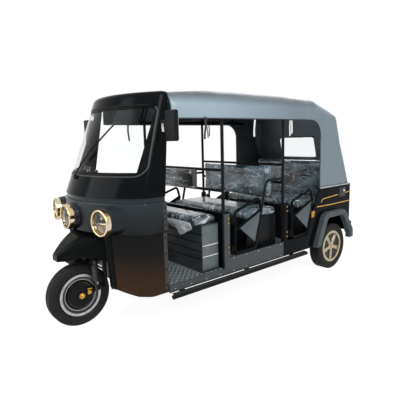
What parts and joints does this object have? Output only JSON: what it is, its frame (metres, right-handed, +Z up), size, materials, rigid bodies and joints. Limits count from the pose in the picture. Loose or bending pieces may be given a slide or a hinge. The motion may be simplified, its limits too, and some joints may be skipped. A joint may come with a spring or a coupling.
{
  "type": "auto rickshaw",
  "caption": "Three-wheeled passenger auto rickshaw with a bowed windscreen, round lamps, open sides with low tube doors, bench seats and a cloth canopy.",
  "frame": {"origin": "centre of the bounding box on the ground under the wheels", "axes": "+X forward along the vehicle, +Y to its left, +Z up"},
  "size_m": [3.3639, 1.486, 1.846],
  "materials": {
    "body_paint": "gloss black paint",
    "frame_paint": "satin black paint",
    "skirt_paint": "satin dark grey paint",
    "flare_plastic": "satin moulded plastic",
    "canopy_vinyl": "coated canopy cloth",
    "seat_vinyl": "black seat vinyl",
    "screen_glass": "clear glass",
    "lamp_glass": "clear lens",
    "lamp_chrome": "polished",
    "tail_red": "red lens",
    "tyre": "rubber",
    "rim_steel": "silver paint",
    "rim_alloy": "bright cast",
    "drive_metal": "dark cast metal",
    "spring_steel": "black spring steel",
    "battery_case": "moulded case",
    "dash_plastic": "grained",
    "floor_mat": "chequered mat"
  },
  "bodies": {
    "chassis": {"chassis_frame": "frame_paint", "floor_pan": "floor_mat", "front_cowl": "body_paint", "leg_shields": "body_paint", "cab_front": "body_paint", "windscreen": "screen_glass", "front_mudguard": "body_paint", "headlamp_bezels": "lamp_chrome", "headlamp_lenses": "lamp_glass", "dashboard": "dash_plastic", "driver_seat_box": "frame_paint", "driver_cushion": "seat_vinyl", "driver_backrest": "seat_vinyl", "partition": "frame_paint", "side_posts": "frame_paint", "back_rails": "frame_paint", "roof_rails": "frame_paint", "roof_bows": "frame_paint", "grab_tubes": "frame_paint", "middle_seat_base": "frame_paint", "middle_cushion": "seat_vinyl", "middle_backrest": "seat_vinyl", "traction_battery": "battery_case", "rear_seat_base": "frame_paint", "rear_cushion": "seat_vinyl", "rear_backrest": "seat_vinyl", "skirts": "skirt_paint", "side_steps": "frame_paint", "quarter_panels": "body_paint", "fender_flares": "flare_plastic", "tail_panel": "body_paint", "tail_lamps": "tail_red", "rear_bumper": "frame_paint", "canopy": "canopy_vinyl", "mirrors": "dash_plastic", "rear_axle": "drive_metal", "rear_springs": "spring_steel", "door_hinges": "frame_paint"},
    "steering": {"fork": "frame_paint", "front_link": "drive_metal", "front_shocks": "spring_steel", "handlebar": "frame_paint"},
    "front_wheel": {"front_tyre": "tyre", "front_rim": "rim_steel"},
    "rear_wheel_left": {"rear_tyre_left": "tyre", "rear_rim_left": "rim_alloy"},
    "rear_wheel_right": {"rear_tyre_right": "tyre", "rear_rim_right": "rim_alloy"},
    "left_middle_door": {"middle_door_left": "frame_paint"},
    "right_middle_door": {"middle_door_right": "frame_paint"},
    "left_rear_door": {"rear_door_left": "frame_paint"},
    "right_rear_door": {"rear_door_right": "frame_paint"}
  },
  "joints": [
    {"name": "steering_turn", "type": "hinge", "parent": "chassis", "child": "steering", "pos_m": [1.444, 0, 0.248], "axis": [-0.342, 0, 0.9397], "range_deg": [-38, 38]},
    {"name": "front_wheel_spin", "type": "hinge", "parent": "steering", "child": "front_wheel", "pos_m": [1.434, 0, 0.248], "axis": [0, 1, 0], "continuous": true},
    {"name": "rear_wheel_left_spin", "type": "hinge", "parent": "chassis", "child": "rear_wheel_left", "pos_m": [-1.19, 0.563, 0.248], "axis": [0, 1, 0], "continuous": true},
    {"name": "rear_wheel_right_spin", "type": "hinge", "parent": "chassis", "child": "rear_wheel_right", "pos_m": [-1.19, -0.563, 0.248], "axis": [0, 1, 0], "continuous": true},
    {"name": "middle_door_left_swing", "type": "hinge", "parent": "chassis", "child": "left_middle_door", "pos_m": [0.309, 0.61, 0.64], "axis": [0, 0, -1], "range_deg": [0, 80]},
    {"name": "middle_door_right_swing", "type": "hinge", "parent": "chassis", "child": "right_middle_door", "pos_m": [0.309, -0.61, 0.64], "axis": [0, 0, 1], "range_deg": [0, 80]},
    {"name": "rear_door_left_swing", "type": "hinge", "parent": "chassis", "child": "left_rear_door", "pos_m": [-0.464, 0.61, 0.64], "axis": [0, 0, -1], "range_deg": [0, 80]},
    {"name": "rear_door_right_swing", "type": "hinge", "parent": "chassis", "child": "right_rear_door", "pos_m": [-0.464, -0.61, 0.64], "axis": [0, 0, 1], "range_deg": [0, 80]}
  ]
}
